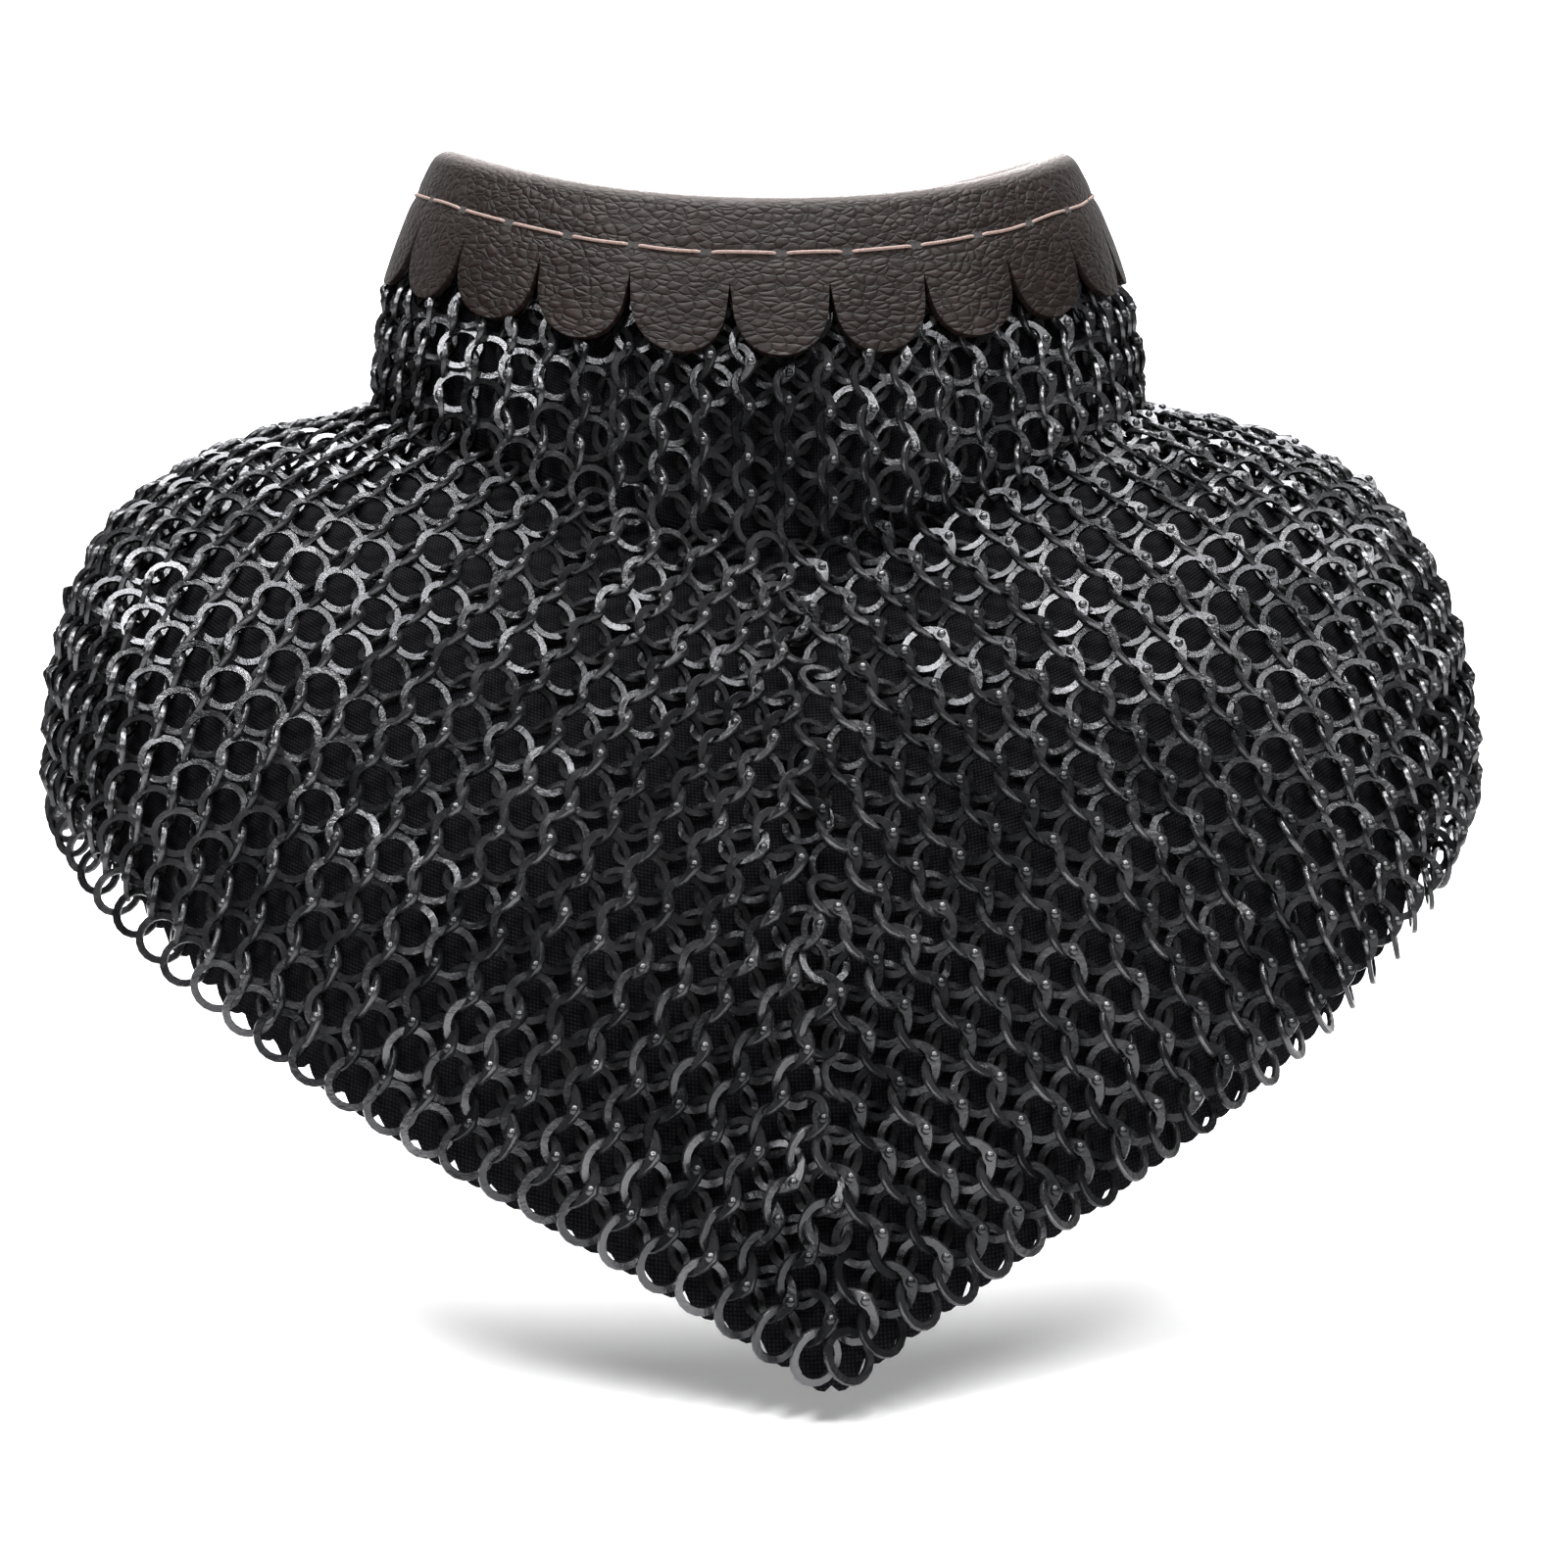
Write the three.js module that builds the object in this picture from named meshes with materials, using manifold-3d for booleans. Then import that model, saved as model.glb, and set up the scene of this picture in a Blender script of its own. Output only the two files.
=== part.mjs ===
// A mail gorget: a mail neck and four mitred mail panels over a cloth lining, bound in leather at the rim.
// Millimetres, +Z up, the wearer faces -Y. The origin is the middle of the neck's base.
import * as THREE from "three";
import Module from "manifold-3d";
import { mergeVertices } from "three/addons/utils/BufferGeometryUtils.js";

const DEGREE = Math.PI / 180;

// The neck by azimuth: 0 is the front, 90 a side and 180 the back.
const NECK = [
  { azimuth: 0, baseRadius: 100, baseHeight: -46, rimRadius: 84, rimHeight: 40 },
  { azimuth: 45, baseRadius: 106, baseHeight: -22, rimRadius: 88, rimHeight: 52 },
  { azimuth: 90, baseRadius: 110, baseHeight: 4, rimRadius: 92, rimHeight: 76 },
  { azimuth: 135, baseRadius: 101, baseHeight: 10, rimRadius: 86, rimHeight: 82 },
  { azimuth: 180, baseRadius: 94, baseHeight: 8, rimRadius: 80, rimHeight: 82 },
];
const NECK_TAPER = 2;

// How steeply the mantle falls, in degrees below level, by its distance from the neck's base.
const FALL = [
  { distance: 0, front: 58, frontSide: 42, side: 24, backSide: 42, back: 55 },
  { distance: 15, front: 52, frontSide: 36, side: 11, backSide: 34, back: 42 },
  { distance: 35, front: 50, frontSide: 38, side: 15, backSide: 36, back: 44 },
  { distance: 65, front: 56, frontSide: 50, side: 33, backSide: 48, back: 54 },
  { distance: 100, front: 64, frontSide: 64, side: 67, backSide: 64, back: 66 },
  { distance: 140, front: 70, frontSide: 75, side: 90, backSide: 76, back: 74 },
  { distance: 190, front: 75, frontSide: 84, side: 100, backSide: 84, back: 79 },
  { distance: 240, front: 77, frontSide: 88, side: 101, backSide: 87, back: 81 },
];
const FALL_STEP = 4;

// Each panel is cut flat as a sector, and its hem is one straight line across it, eased a little when worn.
const SECTOR_SHARE = 0.6;
const PATTERN_RADIUS = 165;
const HEM_REACH = 326;
const HEM_MIDDLE = 51;
const HEM_EASE = [0, 4.5, -15, 4.5, 0];
const HEM_RINGS = 28;
const HEM_RING_DROP = 3.2;

const MAIL = { outer: 2.5, inner: -2.5 };
const LINING = { outer: -3.2, inner: -4.5 };
const NECK_WALL = { columns: 60, rows: 6 };
const PANEL = { columns: 15, rows: 11, liningRows: 9 };
const LEATHER = { outerFlap: 3.6, innerFlap: -5.8, half: 0.8, clearance: 0.4 };
const SEAM_GAP = 0.4;
const BACK_SLIT = 9;
const RIM_DROP = 1.2;

const LINING_INSET = [-2, 0, 16, 8, 3];
const BINDING_DEPTH = [40, 37, 34, 33, 33];
const TONGUE = { count: 23, columns: 4, rows: 5, slit: 19.5, slitWidth: 2.4, straight: 5, roundness: 2.15 };
const TONGUE_TURN = 86 * DEGREE;
const INNER_FLAP_DEPTH = 16;
const FOLD_STEPS = 4;
const BAND_ROWS = 2;

const STRAP = { halfLength: 33, halfWidth: 8, thickness: 2.2, below: 11, segments: 24 };
const STUD_SPOTS = [-26, -15, 23];
const STUD = { post: 1.8, hole: 2.2, head: 3.8, rise: 2.2, standoff: 0.3, sides: 16, domeSteps: 4 };

const LOOKS = {
  mail: { color: 0x3a3b3e, roughness: 0.42, metalness: 0.9 },
  lining: { color: 0x14141a, roughness: 0.95, metalness: 0 },
  leather: { color: 0x4e423e, roughness: 0.6, metalness: 0 },
  stud: { color: 0x55524d, roughness: 0.4, metalness: 0.9 },
};

// A smooth even curve round the garment through five values, front to back.
function round(values, theta) {
  const last = values.length - 1;
  let sum = 0;
  for (let k = 0; k <= last; k++) {
    let share = 0;
    for (let j = 0; j <= last; j++) {
      const weight = j === 0 || j === last ? 0.5 : 1;
      share += weight * values[j] * Math.cos((j * k * Math.PI) / last);
    }
    const scale = (k === 0 || k === last ? 0.5 : 1) * (2 / last);
    sum += scale * share * Math.cos(k * theta);
  }
  return sum;
}

function neckSizes(theta) {
  const read = (name) => round(NECK.map((row) => row[name]), theta);
  return {
    baseRadius: read("baseRadius"),
    baseHeight: read("baseHeight"),
    rimRadius: read("rimRadius"),
    rimHeight: read("rimHeight"),
  };
}

function neckHeight(theta) {
  const neck = neckSizes(theta);
  return neck.rimHeight - neck.baseHeight;
}

function fallAngle(theta, distance) {
  const last = FALL.length - 1;
  let i = 0;
  while (i < last - 1 && FALL[i + 1].distance < distance) i++;
  const [a, b] = [FALL[i], FALL[i + 1]];
  const part = Math.min(Math.max((distance - a.distance) / (b.distance - a.distance), 0), 1);
  const at = (row) => round([row.front, row.frontSide, row.side, row.backSide, row.back], theta);
  return (at(a) + (at(b) - at(a)) * part) * DEGREE;
}

// The mail's middle surface as radius and height, at a distance down from the neck's base.
function profile(theta, down) {
  const neck = neckSizes(theta);
  if (down <= 0) {
    const up = -down / (neck.rimHeight - neck.baseHeight);
    const taper = Math.pow(up, NECK_TAPER);
    const radius = neck.baseRadius + (neck.rimRadius - neck.baseRadius) * taper;
    return [radius, neck.baseHeight - down];
  }
  const steps = Math.max(1, Math.round(down / FALL_STEP));
  const step = down / steps;
  let [radius, height] = [neck.baseRadius, neck.baseHeight];
  for (let i = 0; i < steps; i++) {
    const angle = fallAngle(theta, (i + 0.5) * step);
    radius += Math.cos(angle) * step;
    height -= Math.sin(angle) * step;
  }
  return [radius, height];
}

const NORMAL_REACH = 3;

// A point off the middle surface: azimuth, distance down from the neck's base, and distance out.
function place(theta, down, out) {
  const [radius, height] = profile(theta, down);
  const [aboveRadius, aboveHeight] = profile(theta, down - NORMAL_REACH);
  const [belowRadius, belowHeight] = profile(theta, down + NORMAL_REACH);
  const along = [belowRadius - aboveRadius, belowHeight - aboveHeight];
  const length = Math.hypot(...along);
  const r = radius - (along[1] / length) * out;
  const z = height + (along[0] / length) * out;
  return new THREE.Vector3(r * Math.sin(theta), -r * Math.cos(theta), z);
}

// The hem's distance down from the neck's base: a straight cut across each panel's pattern, eased when worn.
function hemDown(theta) {
  return HEM_REACH / Math.cos(patternAngle(theta)) - PATTERN_RADIUS + round(HEM_EASE, theta);
}

function patternAngle(theta) {
  const turn = Math.abs(theta);
  const middle = turn < Math.PI / 2 ? HEM_MIDDLE : 180 - HEM_MIDDLE;
  return SECTOR_SHARE * (turn - middle * DEGREE);
}

// Collects the points and triangles of one closed body.
class Body {
  constructor() {
    this.points = [];
    this.triangles = [];
  }

  add(point) {
    this.points.push(point);
    return this.points.length - 1;
  }

  row(points) {
    return points.map((point) => this.add(point));
  }

  // Joins two rows of points, which may differ in number, with triangles.
  strip(first, second, flip = false) {
    let [i, j] = [0, 0];
    while (i < first.length - 1 || j < second.length - 1) {
      const nextFirst = (i + 1) / (first.length - 1);
      const nextSecond = (j + 1) / (second.length - 1);
      const advanceFirst = j === second.length - 1 || (i < first.length - 1 && nextFirst <= nextSecond);
      const corner = advanceFirst ? first[i + 1] : second[j + 1];
      const triangle = [first[i], second[j], corner];
      this.triangles.push(flip ? [triangle[0], triangle[2], triangle[1]] : triangle);
      if (advanceFirst) i++;
      else j++;
    }
  }

  geometry() {
    const geometry = new THREE.BufferGeometry();
    const positions = this.points.flatMap((point) => point.toArray());
    geometry.setAttribute("position", new THREE.Float32BufferAttribute(positions, 3));
    geometry.setIndex(this.triangles.flat());
    if (signedVolume(geometry) < 0) {
      geometry.setIndex(this.triangles.flatMap(([a, b, c]) => [a, c, b]));
    }
    geometry.computeVertexNormals();
    return geometry;
  }
}

function signedVolume(geometry) {
  const position = geometry.getAttribute("position");
  const index = geometry.getIndex();
  const [a, b, c] = [new THREE.Vector3(), new THREE.Vector3(), new THREE.Vector3()];
  let sum = 0;
  for (let i = 0; i < index.count; i += 3) {
    a.fromBufferAttribute(position, index.getX(i));
    b.fromBufferAttribute(position, index.getX(i + 1));
    c.fromBufferAttribute(position, index.getX(i + 2));
    sum += a.dot(b.cross(c));
  }
  return sum / 6;
}

// A wall between two offsets. Each row is a list of [theta, down] pairs, from top to bottom.
function wall(rows, layer) {
  const body = new Body();
  const face = (out) => rows.map((row) => body.row(row.map(([theta, down]) => place(theta, down, out))));
  const outer = face(layer.outer);
  const inner = face(layer.inner);
  for (let i = 0; i < rows.length - 1; i++) {
    body.strip(outer[i], outer[i + 1]);
    body.strip(inner[i], inner[i + 1], true);
  }
  const last = rows.length - 1;
  body.strip(inner[0], outer[0]);
  body.strip(outer[last], inner[last]);
  const edge = (grid, end) => grid.map((row) => row[end === 0 ? 0 : row.length - 1]);
  body.strip(edge(inner, 0), edge(outer, 0), true);
  body.strip(edge(inner, 1), edge(outer, 1));
  return body.geometry();
}

function spread(from, to, count) {
  return Array.from({ length: count + 1 }, (_, i) => from + ((to - from) * i) / count);
}

function evenRows(thetas, count, top, bottom) {
  return spread(0, 1, count).map((part) =>
    thetas.map((theta) => [theta, top(theta) + (bottom(theta) - top(theta)) * part]),
  );
}

const slitAngle = BACK_SLIT / 2 / NECK[4].baseRadius;
const neckTop = (theta) => -neckHeight(theta) + RIM_DROP;
const neckBottom = () => -SEAM_GAP / 2;

function neckWall(layer) {
  const thetas = spread(-Math.PI + slitAngle, Math.PI - slitAngle, NECK_WALL.columns);
  return wall(evenRows(thetas, NECK_WALL.rows, neckTop, neckBottom), layer);
}

// One mail panel. Its last row follows the outline of the hem's rings.
function mailPanel([from, to]) {
  const thetas = spread(from, to, PANEL.columns);
  const rows = evenRows(thetas, PANEL.rows, () => SEAM_GAP / 2, hemDown);
  rows.pop();
  const pointsPerRing = 4;
  const hem = spread(from, to, HEM_RINGS * pointsPerRing).map((theta, i) => {
    const drop = Math.sin(((i % pointsPerRing) * Math.PI) / pointsPerRing) * HEM_RING_DROP;
    return [theta, hemDown(theta) + drop];
  });
  return wall([...rows, hem], MAIL);
}

// A lining panel follows the mail's rows, and its hem lies higher.
function liningPanel(thetas) {
  const rows = evenRows(thetas, PANEL.rows, () => SEAM_GAP / 2, hemDown).slice(0, PANEL.liningRows);
  const bottom = (theta) => hemDown(theta) - round(LINING_INSET, theta);
  const last = rows[rows.length - 1];
  rows.push(last.map(([theta, down]) => [theta, (down + bottom(theta)) / 2]));
  rows.push(last.map(([theta]) => [theta, bottom(theta)]));
  return wall(rows, LINING);
}

// The rim's binding: an inner flap, a fold over the top, and an outer flap that ends in round tongues.
function collarBinding() {
  const body = new Body();
  const span = Math.PI - slitAngle;
  const columns = TONGUE.count * TONGUE.columns;
  const thetas = spread(-span, span, columns);
  const foldCentre = (LEATHER.outerFlap + LEATHER.innerFlap) / 2;
  const foldRadius = (LEATHER.outerFlap - LEATHER.innerFlap) / 2;
  const bandDepth = (theta) => round(BINDING_DEPTH, theta) - TONGUE.slit;
  const top = (theta) => -neckHeight(theta);

  const stations = [
    ...spread(INNER_FLAP_DEPTH, 0, 1).map((depth) => ({
      depth: () => depth,
      out: LEATHER.innerFlap,
      side: [0, -1],
    })),
    ...spread(180, 0, FOLD_STEPS).slice(1, -1).map((angle) => ({
      depth: () => 0,
      out: foldCentre + foldRadius * Math.cos(angle * DEGREE),
      lift: foldRadius * Math.sin(angle * DEGREE),
      side: [Math.sin(angle * DEGREE), Math.cos(angle * DEGREE)],
    })),
    ...spread(0, 1, BAND_ROWS).map((part) => ({
      depth: (theta) => bandDepth(theta) * part,
      out: LEATHER.outerFlap,
      side: [0, 1],
    })),
  ];
  const pointAt = (station, theta, sign) => {
    const rise = (station.lift ?? 0) + sign * LEATHER.half * station.side[0];
    const out = station.out + sign * LEATHER.half * station.side[1];
    return place(theta, top(theta) + station.depth(theta) - rise, out);
  };
  const rowAt = (station, sign) => body.row(thetas.map((theta) => pointAt(station, theta, sign)));
  const face = (sign) => stations.map((station) => rowAt(station, sign));
  const outer = face(1);
  const inner = face(-1);
  const last = stations.length - 1;
  for (let i = 0; i < last; i++) {
    body.strip(outer[i], outer[i + 1]);
    body.strip(inner[i], inner[i + 1], true);
  }
  body.strip(inner[0], outer[0]);
  for (const end of [0, columns]) {
    body.strip(inner.map((row) => row[end]), outer.map((row) => row[end]), end === 0);
  }
  for (let i = 0; i < TONGUE.count; i++) {
    const [start, stop] = [i * TONGUE.columns, (i + 1) * TONGUE.columns];
    addTongue(body, thetas[start], thetas[stop], bandDepth, top, {
      outer: outer[last].slice(start, stop + 1),
      inner: inner[last].slice(start, stop + 1),
    });
  }
  return body.geometry();
}

// One round-ended tongue below the band, which shares the band's lowest row of points.
function addTongue(body, from, to, bandDepth, top, shared) {
  const middle = (from + to) / 2;
  const half = (to - from) / 2;
  const radius = profile(middle, top(middle) + bandDepth(middle))[0];
  const fullHalf = half - TONGUE.slitWidth / 2 / radius;
  const rows = { outer: [shared.outer], inner: [shared.inner] };
  for (const part of spread(0, 1, TONGUE.rows).slice(1)) {
    const angle = part * TONGUE_TURN;
    const along = Math.pow(Math.sin(angle) / Math.sin(TONGUE_TURN), 2 / TONGUE.roundness);
    const drop = TONGUE.straight + (TONGUE.slit - TONGUE.straight) * along;
    const roundHalf = fullHalf * Math.pow(Math.cos(angle), 2 / TONGUE.roundness);
    const thetas = spread(middle - roundHalf, middle + roundHalf, TONGUE.columns);
    const line = (out) => thetas.map((theta) => place(theta, top(theta) + bandDepth(theta) + drop, out));
    rows.outer.push(body.row(line(LEATHER.outerFlap + LEATHER.half)));
    rows.inner.push(body.row(line(LEATHER.outerFlap - LEATHER.half)));
  }
  const last = rows.outer.length - 1;
  for (let i = 0; i < last; i++) {
    body.strip(rows.outer[i], rows.outer[i + 1]);
    body.strip(rows.inner[i], rows.inner[i + 1], true);
  }
  body.strip(rows.outer[last], rows.inner[last]);
  const end = TONGUE.columns;
  body.strip(rows.inner.map((row) => row[0]), rows.outer.map((row) => row[0]), true);
  body.strip(rows.inner.map((row) => row[end]), rows.outer.map((row) => row[end]));
}

// Bends a flat geometry onto the back of the neck: x runs round it, y up it and z out of it.
function bendOntoBack(geometry, out) {
  const position = geometry.getAttribute("position");
  const point = new THREE.Vector3();
  for (let i = 0; i < position.count; i++) {
    point.fromBufferAttribute(position, i);
    const bent = place(...backSpot(point.x, point.y), out + point.z);
    position.setXYZ(i, bent.x, bent.y, bent.z);
  }
  return geometry;
}

function backSpot(along, up) {
  const theta = Math.PI + along / NECK[4].rimRadius;
  return [theta, -neckHeight(theta) + STRAP.below - up];
}

const strapBase = LEATHER.outerFlap + LEATHER.half + LEATHER.clearance;

const wasm = await Module();
wasm.setup();

function toManifold(geometry) {
  const clean = geometry.clone();
  for (const name of ["normal", "uv"]) clean.deleteAttribute(name);
  const merged = mergeVertices(clean, 1e-4);
  const vertProperties = new Float32Array(merged.getAttribute("position").array);
  const triVerts = new Uint32Array(merged.getIndex().array);
  return new wasm.Manifold(new wasm.Mesh({ numProp: 3, vertProperties, triVerts }));
}

function toGeometry(solid) {
  const mesh = solid.getMesh();
  const geometry = new THREE.BufferGeometry();
  geometry.setAttribute("position", new THREE.Float32BufferAttribute(mesh.vertProperties, 3));
  geometry.setIndex(new THREE.Uint32BufferAttribute(mesh.triVerts, 1));
  geometry.computeVertexNormals();
  return geometry;
}

// The leather strap over the back slit, with a hole for each stud, cut flat and then bent.
function backStrap() {
  const length = STRAP.halfLength * 2;
  const blank = new THREE.BoxGeometry(length, STRAP.halfWidth * 2, STRAP.thickness, STRAP.segments, 2, 1);
  let solid = toManifold(blank);
  for (const along of STUD_SPOTS) {
    const drillLength = STRAP.thickness * 3;
    const drill = new THREE.CylinderGeometry(STUD.hole, STUD.hole, drillLength, STUD.sides);
    drill.rotateX(Math.PI / 2).translate(along, 0, 0);
    solid = solid.subtract(toManifold(drill));
  }
  return bendOntoBack(toGeometry(solid), strapBase + STRAP.thickness / 2);
}

// A domed stud, turned about its own post and set square to the neck.
function stud(along) {
  const top = STRAP.thickness + STUD.standoff;
  const outline = [
    new THREE.Vector2(0, 0),
    new THREE.Vector2(STUD.post, 0),
    new THREE.Vector2(STUD.post, top),
    new THREE.Vector2(STUD.head, top),
  ];
  for (const angle of spread(0, 90, STUD.domeSteps).slice(1)) {
    const radius = STUD.head * Math.cos(angle * DEGREE);
    const height = top + STUD.rise * Math.sin(angle * DEGREE);
    outline.push(new THREE.Vector2(radius, height));
  }
  outline[outline.length - 1].x = 0;
  const geometry = new THREE.LatheGeometry(outline, STUD.sides);
  const foot = place(...backSpot(along, 0), strapBase);
  const head = place(...backSpot(along, 0), strapBase + 1);
  const upright = new THREE.Vector3(0, 1, 0);
  const turn = new THREE.Quaternion().setFromUnitVectors(upright, head.sub(foot).normalize());
  geometry.applyQuaternion(turn).translate(foot.x, foot.y, foot.z);
  return toGeometry(toManifold(geometry));
}

const group = new THREE.Group();

function addPiece(name, geometry, look) {
  const mesh = new THREE.Mesh(geometry, new THREE.MeshStandardMaterial(look));
  mesh.name = name;
  group.add(mesh);
}

const seam = SEAM_GAP / 2 / NECK[0].baseRadius;
const quarter = Math.PI / 2;

const panels = {
  front_left: [seam, quarter - seam],
  front_right: [-quarter + seam, -seam],
  back_left: [quarter + seam, 2 * quarter - seam],
  back_right: [-2 * quarter + seam, -quarter - seam],
};
const columnsOf = (name) => spread(...panels[name], PANEL.columns);

addPiece("mail_neck", neckWall(MAIL), LOOKS.mail);
for (const [name, span] of Object.entries(panels)) addPiece(`mail_${name}`, mailPanel(span), LOOKS.mail);
addPiece("lining_collar", neckWall(LINING), LOOKS.lining);
const frontColumns = [...columnsOf("front_right"), ...columnsOf("front_left")];
addPiece("lining_front", liningPanel(frontColumns), LOOKS.lining);
addPiece("lining_back_left", liningPanel(columnsOf("back_left")), LOOKS.lining);
addPiece("lining_back_right", liningPanel(columnsOf("back_right")), LOOKS.lining);
addPiece("collar_binding", collarBinding(), LOOKS.leather);
addPiece("back_strap", backStrap(), LOOKS.leather);
STUD_SPOTS.forEach((along, i) => addPiece(`strap_stud_${i + 1}`, stud(along), LOOKS.stud));

export default group;
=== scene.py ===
"""A blackened mail gorget with a black cloth lining and a tongued leather binding round its rim."""

import math
import bpy
import numpy as np
from mathutils import Euler, Matrix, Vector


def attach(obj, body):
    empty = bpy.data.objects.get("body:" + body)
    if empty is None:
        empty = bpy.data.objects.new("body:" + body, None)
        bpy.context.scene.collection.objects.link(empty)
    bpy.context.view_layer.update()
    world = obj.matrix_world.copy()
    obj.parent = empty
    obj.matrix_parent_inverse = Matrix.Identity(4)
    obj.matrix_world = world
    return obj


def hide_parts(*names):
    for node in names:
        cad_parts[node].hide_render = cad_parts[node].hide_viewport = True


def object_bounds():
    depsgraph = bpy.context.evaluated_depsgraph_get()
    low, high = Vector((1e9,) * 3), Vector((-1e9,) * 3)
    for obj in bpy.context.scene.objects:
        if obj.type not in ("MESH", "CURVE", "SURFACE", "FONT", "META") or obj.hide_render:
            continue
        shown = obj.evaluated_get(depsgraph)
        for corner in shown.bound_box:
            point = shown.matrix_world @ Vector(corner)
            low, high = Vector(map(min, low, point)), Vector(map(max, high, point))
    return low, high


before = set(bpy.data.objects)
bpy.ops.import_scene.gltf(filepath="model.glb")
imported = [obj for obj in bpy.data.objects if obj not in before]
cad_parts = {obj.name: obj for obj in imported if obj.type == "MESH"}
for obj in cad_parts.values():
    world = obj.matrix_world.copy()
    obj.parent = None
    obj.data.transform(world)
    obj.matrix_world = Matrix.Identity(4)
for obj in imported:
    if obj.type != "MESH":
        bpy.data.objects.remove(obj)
cad_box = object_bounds()

MM = 0.001
TAU = 2 * math.pi
random = np.random.default_rng(11)

# The garment's form, in millimetres, as in the model: five azimuths from the front to the back.
NECK = {
    "base_radius": (100, 106, 110, 101, 94),
    "base_height": (-46, -22, 4, 10, 8),
    "rim_radius": (84, 88, 92, 86, 80),
    "rim_height": (40, 52, 76, 82, 82),
}
NECK_TAPER = 2
FALL_DISTANCES = (0, 15, 35, 65, 100, 140, 190, 240)
FALL = (
    (58, 42, 24, 42, 55),
    (52, 36, 11, 34, 42),
    (50, 38, 15, 36, 44),
    (56, 50, 33, 48, 54),
    (64, 64, 67, 64, 66),
    (70, 75, 90, 76, 74),
    (75, 84, 100, 84, 79),
    (77, 88, 101, 87, 81),
)
FALL_STEPS = 48
# The surface's normal comes from points this far above and below.
NORMAL_REACH = 3

# The mantle's flat pattern: four sectors, each with a straight hem across its middle line.
SECTOR_SHARE = 0.6
PATTERN_RADIUS = 165
HEM_REACH = 326
HEM_MIDDLE = math.radians(51)
HEM_EASE = (0, 4.5, -15, 4.5, 0)
BACK_SLIT = 9
SLIT_ANGLE = BACK_SLIT / 2 / NECK["base_radius"][4]

# The mail: flat rings in rows, solid and riveted ones in alternate chains.
RING_INNER = 4.4
RING_OUTER = 6.3
RING_HALF_THICK = 0.58
RING_CHAMFER = 0.16
RING_WARP = 0.18
RING_SEGMENTS = 18
SECTION_CORNERS = 6
RIVET_SIDES = 8
RIVET_RADIUS = 1.3
RIVET_RISE = 1.15
RIVET_LENS_ANGLE = 0.34
PITCH_ALONG = 12.3
PITCH_ACROSS = 10.3
RING_TILT = math.radians(32)
COVERED_TILT = math.radians(13)
RING_LIFT = 0.8
AXIS_NOISE = 0.07
TILT_NOISE = 0.09
PLACE_NOISE = 0.16
NECK_SWING = 0.45
PANEL_SWING = 0.4
LAST_ROW = HEM_REACH - 4.4
MITRE_OVERLAP = 0.6
NECK_CLEARANCE = 1.2
NECK_CHAINS = 60
NECK_ROWS = 11
NECK_TOP_MARGIN = 5.5
PANEL_HALF_CHAINS = 22
PANEL_ROWS = 20

# The cloth, a thin shell inside the mail.
CLOTH_OUTER = -3.45
CLOTH_INNER = -4.35
CLOTH_CREASE = 0.25
CLOTH_HEM_FLARE = 0.7
CLOTH_SEAM = 0.0003
HEM_SHORTER = (0, 1, 16, 8, 2)
SCALLOP_DROP = 5.8
SCALLOP_HALF_WIDTH = 0.55
THREAD_PITCH = 0.9

# The leather binding and its stitching. Depths are measured down from the rim.
OUTER_FLAP = 4.1
INNER_FLAP = -5.8
LEATHER_HALF = 0.85
BINDING_DEPTH = (40, 37, 34, 33, 33)
INNER_FLAP_DEPTH = 16
TONGUES = 23
TONGUE_SLIT = 19.5
TONGUE_SLIT_WIDTH = 1.4
TONGUE_STRAIGHT = 5
TONGUE_ROUNDNESS = 2.15
TONGUE_COLUMNS = 14
TONGUE_ROWS = 11
LEATHER_UV_RADIUS = 90
LEATHER_BEVEL = 0.35
STITCHES = 30
STITCH_DEPTH = (12.5, 11, 9, 10, 10)
STITCH_POINTS = 22
THREAD_RADIUS = 0.45
HOLE_RADIUS = 1.0
HOLE_SIDES = 12
HOLE_SHIFT = 0.0085

# The closure at the back.
STRAP_HALF_LENGTH = 33
STRAP_HALF_WIDTH = 8
STRAP_BELOW = 11
STRAP_UNDER = 4.8
STRAP_THICKNESS = 2.2
STRAP_CORNER = 4.5
STRAP_CROWN = 0.25
STRAP_BEVEL = 0.4
STUD_SPOTS = (-26, -15, 23)
STUD_SIDES = 28
STUD_HEAD = 3.8
STUD_RISE = 2.2
STUD_LIP = 0.35
STUD_POST = 1.8

# The studio. Lamps are in metres: name, place, size and power. The camera is in millimetres.
WORLD_STRENGTH = 0.11
FLOOR_GAP = 6
FLOOR_REACH = 9000
COVE_START = 500
COVE_BEND = 700
WALL_TOP = 2600
LAMP_TARGET = (0, 0, -0.08)
LAMPS = (
    ("key", (-0.6, -0.7, 0.95), (0.3, 0.3), 10),
    ("fill", (0.65, -0.65, 0.95), (0.3, 0.3), 6),
    ("front_left", (-0.34, -1.0, 0.78), (0.22, 0.4), 12),
    ("front_right", (0.4, -1.0, 0.78), (0.22, 0.4), 10),
    ("top", (0, -0.05, 1.05), (1.2, 0.4), 44),
    ("back", (0.1, 1.1, 0.7), (0.6, 0.6), 9),
)
CAMERA_DISTANCE = 640
CAMERA_RIGHT = 5.5
CAMERA_HEIGHT = -105
CAMERA_TURN = math.radians(4)
CAMERA_ROLL = math.radians(1)
FOCAL_PIXELS = 2170
IMAGE_WIDTH = 1600
SENSOR_WIDTH = 36


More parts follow.
